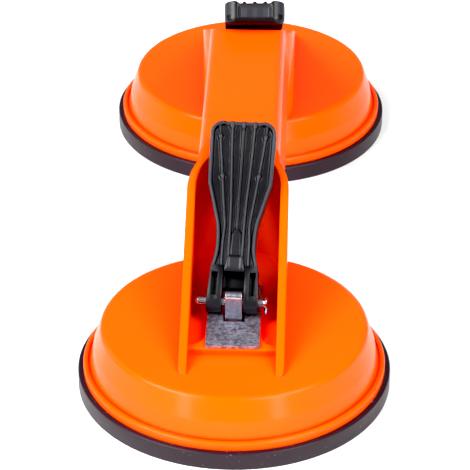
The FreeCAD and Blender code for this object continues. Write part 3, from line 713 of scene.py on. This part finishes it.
def arm(side):
    """One arm, with the slot that cores its face and the bore for the pin.

    Its outer side is drawn out or in, in proportion, to the lever's outline at each place.
    """
    points, faces = slab(arm_outline(), ARM_INSIDE, ARM_OUTSIDE, ARM_ROUND)
    share = (points[:, 0] - ARM_INSIDE) / (ARM_OUTSIDE - ARM_INSIDE)
    points[:, 0] = ARM_INSIDE + share * (spread(points[:, 1], OUTLINE) - ARM_INSIDE)
    piece = build("arm", points * MM, faces, black)
    notch, notch_faces = slab(NOTCH, *NOTCH_SIDES, SHARP)
    cut_away(piece, build("notch", notch * MM, notch_faces, black))
    ring = circle(np.arange(0.0, 360.0, BORE_STEP), BORE_RADIUS)
    bore, bore_faces = slab(ring, *BORE_SIDES, SHARP)
    cut_away(piece, build("bore", bore * MM, bore_faces, black))
    made = np.array([v.co for v in piece.data.vertices]) / MM
    made[:, 0] *= side
    faces = [list(p.vertices)[::int(side)] for p in piece.data.polygons]
    bpy.data.objects.remove(piece)
    return made, faces


def web():
    """The curved web that joins the arms behind the stud's head, clear of it all the way round."""
    hollow = circle(np.linspace(-44.0, -31.0, 7), WEB_HOLLOW)
    return slab(np.concatenate([hollow, WEB_BACK]), -WEB_HALF, WEB_HALF, SHARP)


print("an arm's outline has", len(arm_outline()), "points")

# %% [markdown]
# Each lever is drawn about its pin and then put in its place. It sits a little askew in its play,
# as a used one does, so its end's place along the handle comes with a turn, a lean about the
# stud and a shift along the pin.

# %% Where the levers stand
ENDS = {"front": (-104.0, 0.0, -2.75, -0.7), "rear": (104.0, 180.0, 2.7, -0.4)}
PIN_HEIGHT = 34.5


def lever_axes(end):
    """A lever's two turns, about the upright and about the pin, with its pin's place and shift."""
    place, turn, lean, shift = ENDS[end]
    spin = np.array(Matrix.Rotation(math.radians(turn + lean), 3, "Z"))
    swing = np.array(Matrix.Rotation(math.radians(SLOPE), 3, "X"))
    return spin, swing, np.array([0.0, place, PIN_HEIGHT]), np.array([shift, 0.0, 0.0])


def at_pin(points, end):
    """Points drawn about the pin: tilted about it, moved along it and turned with the stud."""
    spin, swing, pin, shift = lever_axes(end)
    return ((points @ swing.T + shift) @ spin.T + pin) * MM


def from_pin(points, end):
    """The way back: points in place, as measures across, along and out from their lever."""
    spin, swing, pin, shift = lever_axes(end)
    return (((points / MM - pin) @ spin - shift) @ swing).T


print("pins at", {end: (settings[0], PIN_HEIGHT) for end, settings in ENDS.items()}, "mm")

# %% Put the levers together
# How much painted highlight the foot, the sides and the tongue's broad step get.
FOOT_PAINTED_HIGHLIGHT, SIDE_PAINTED_HIGHLIGHT, STEP_PAINTED_HIGHLIGHT = 0.6, 0.45, 0.8


def mark_relief(piece, end):
    """Write on every point how far it stands out, for the finish to follow.

    On the face that is the relief, taken down on the tongue's broad step. The foot and the
    sides have a fixed share each, and the sheltered web has none. The finish paints a highlight
    by these numbers.
    """
    points = np.array([v.co for v in piece.data.vertices])
    across, along, height = from_pin(points, end)
    side_of, foot_end = np.abs(across), FOOT - 2.0
    stands = np.clip(relief(along, across), 0.0, 1.0)
    stands = stands * np.where((along < 17.6) & (side_of < 3.6), STEP_PAINTED_HIGHLIGHT, 1.0)
    above = height > underside(along, across) + 1.5
    on_face = (along > foot_end) & above & (along < LENGTH - 0.3)
    elsewhere = np.where(along < foot_end, FOOT_PAINTED_HIGHLIGHT, SIDE_PAINTED_HIGHLIGHT)
    on_web = (side_of < WEB_HALF + 0.1) & (height < -2.0) & (along < FOOT)
    elsewhere = np.where(on_web, 0.0, elsewhere)
    mark = piece.data.attributes.new("relief", "FLOAT", "POINT")
    mark.data.foreach_set("value", np.where(on_face, stands, elsewhere).astype(np.float32))


def lever(end):
    """One lever: the blade, both arms and the web as one piece, marked and put in its place."""
    points, faces = [], []
    for part_points, part_faces in (blade(), arm(1.0), arm(-1.0), web()):
        start = sum(map(len, points))
        faces += [[int(v) + start for v in face] for face in part_faces]
        points.append(part_points)
    placed = at_pin(np.concatenate(points), end)
    piece = build(end + "_lever_moulding", placed, faces, black, smooth_angle=50.0)
    mark_relief(piece, end)
    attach(piece, end + "_lever")
    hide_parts(end + "_lever")
    made = np.array([v.co for v in piece.data.vertices])
    print(end, "lever:", len(piece.data.polygons), "faces")
    for title, (low, high) in (
            ("made", (made.min(0), made.max(0))), ("measured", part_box(end + "_lever"))):
        print("  ", title, [round(c / MM, 1) for c in low], "to", [round(c / MM, 1) for c in high])


for end in ENDS:
    lever(end)

# %% [markdown]
# ## The rubber pads
# Each pad is a turned form: a thick rim that seals on the slab and stands out past the flange as
# a narrow ledge, and a thin web drawn up in its middle, with a cup for the steel disc. It could be
# one solid, but the web goes flat as its lever opens while the rim stays put, so the two are made
# as separate rings that meet out of sight.

# %% Turned forms
def eased(corners, radius):
    """A profile with each corner replaced by a short quadratic Bezier that starts this far off."""
    corners = np.array(corners, float)
    to_last, to_next = np.roll(corners, 1, 0) - corners, np.roll(corners, -1, 0) - corners
    t = np.linspace(0.0, 1.0, 5)[:, None, None]
    start = corners + to_last / np.linalg.norm(to_last, axis=1, keepdims=True) * radius
    end = corners + to_next / np.linalg.norm(to_next, axis=1, keepdims=True) * radius
    bends = (1 - t) ** 2 * start + 2 * t * (1 - t) * corners + t ** 2 * end
    return bends.swapaxes(0, 1).reshape(-1, 2)


def turned(name, profile, place, closed, material):
    """A profile of (radius, height) swept once round an upright axis at that place along Y."""
    turn = np.radians(np.linspace(0.0, 360.0, 241))[:, None]
    radius, height = profile[:, 0][None], profile[:, 1][None]
    points = np.stack([radius * np.cos(turn), place + radius * np.sin(turn), height + 0 * turn], -1)
    faces = grid_faces(len(turn), len(profile), around=closed)
    return build(name, points.reshape(-1, 3) * MM, faces, material)


print("a square's profile eased has", len(eased([(0, 0), (1, 0), (1, 1), (0, 1)], 0.2)), "points")

# %% The pads, in millimetres
# The rim from the seal outwards, and the web from the hub outwards. The web runs on by the lap
# into the rim, where it can't be seen.
PAD_RADIUS, PAD_HEIGHT, LEDGE, EDGE_ROUND = 59.0, 7.0, 50.0, 0.45
SEAL, SEAL_TOP = 47.0, 3.3
WEB_LOW, WEB_TOP = 2.6, 5.6
HUB, CUP_RADIUS, CUP_TOP = 26.0, 22.4, 9.15
HIDDEN_LAP, SLOPE_END = 0.2, 38.0
RIM_PROFILE = eased([
    (SEAL, 0.0), (PAD_RADIUS, 0.0), (PAD_RADIUS, PAD_HEIGHT), (LEDGE, PAD_HEIGHT),
    (SEAL, SEAL_TOP)], EDGE_ROUND)
WEB_PROFILE = np.array([
    (0.0, WEB_LOW), (29.0, WEB_LOW), (SLOPE_END, 1.2), (SEAL + HIDDEN_LAP, 0.15),
    (SEAL + HIDDEN_LAP, SEAL_TOP), (SLOPE_END, 4.4), (27.5, WEB_TOP), (HUB, WEB_TOP),
    (HUB, CUP_TOP), (CUP_RADIUS, CUP_TOP), (CUP_RADIUS, WEB_TOP), (0.0, WEB_TOP)])
for end, (place, *_) in ENDS.items():
    rim = turned(end + "_pad_rim", RIM_PROFILE, place, True, rubber)
    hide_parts(end + "_rubber_pad")
    middle = turned(end + "_pad_web", WEB_PROFILE, place, False, rubber)
    for piece in (rim, middle):
        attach(piece, "body")
    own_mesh(middle)
print("pads made for", list(ENDS))
